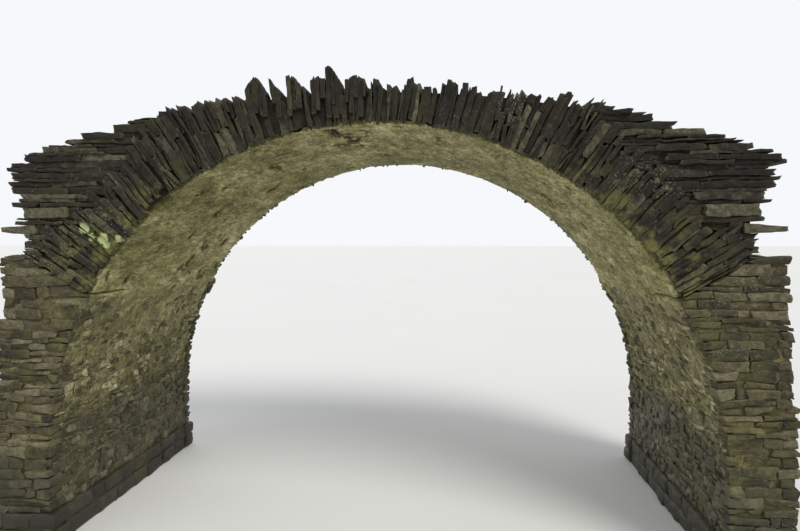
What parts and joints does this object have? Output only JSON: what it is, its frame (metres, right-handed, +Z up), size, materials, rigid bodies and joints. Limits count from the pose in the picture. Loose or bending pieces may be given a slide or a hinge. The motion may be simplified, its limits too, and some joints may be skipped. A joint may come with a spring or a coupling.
{
  "type": "stone arch bridge",
  "caption": "Small humped stone bridge with one near-semicircular arch of thin radial slate slabs, a mortar-coated soffit, ragged spandrel ends and rubble abutments.",
  "frame": {"origin": "centre of the base, midway between the footings on the bridge's two centre planes, at the level the footings rest on", "axes": "+X along the span, +Y across the bridge towards the back face, +Z up"},
  "size_m": [7.5032, 2.996, 4.3998],
  "materials": {
    "slate": "rough split slate slabs",
    "rubble": "rough rubble in lime mortar",
    "mortar": "worn trowelled lime mortar",
    "fill": "rammed earth and rubble",
    "track": "packed earth and small stones"
  },
  "bodies": {
    "root": {"abutment_left_lower": "rubble", "abutment_left_upper": "rubble", "abutment_right_lower": "rubble", "abutment_right_upper": "rubble", "barrel_crown": "rubble", "barrel_left_haunch": "rubble", "barrel_left_shoulder": "rubble", "barrel_right_haunch": "rubble", "barrel_right_shoulder": "rubble", "crest_slabs_back": "slate", "crest_slabs_front": "slate", "end_wall_left": "rubble", "end_wall_right": "rubble", "fill_left": "fill", "fill_right": "fill", "footing_left": "rubble", "footing_right": "rubble", "projecting_slabs_left": "slate", "projecting_slabs_right": "slate", "ring_back_crown": "slate", "ring_back_left_haunch": "slate", "ring_back_left_shoulder": "slate", "ring_back_right_haunch": "slate", "ring_back_right_shoulder": "slate", "ring_front_crown": "slate", "ring_front_left_haunch": "slate", "ring_front_left_shoulder": "slate", "ring_front_right_haunch": "slate", "ring_front_right_shoulder": "slate", "soffit_coat_crown": "mortar", "soffit_coat_left_haunch": "mortar", "soffit_coat_left_shoulder": "mortar", "soffit_coat_right_haunch": "mortar", "soffit_coat_right_shoulder": "mortar", "spandrel_back_left": "slate", "spandrel_back_right": "slate", "spandrel_front_left": "slate", "spandrel_front_right": "slate", "springer_left": "rubble", "springer_right": "rubble", "track_crown": "track", "track_left": "track", "track_right": "track"}
  },
  "joints": []
}
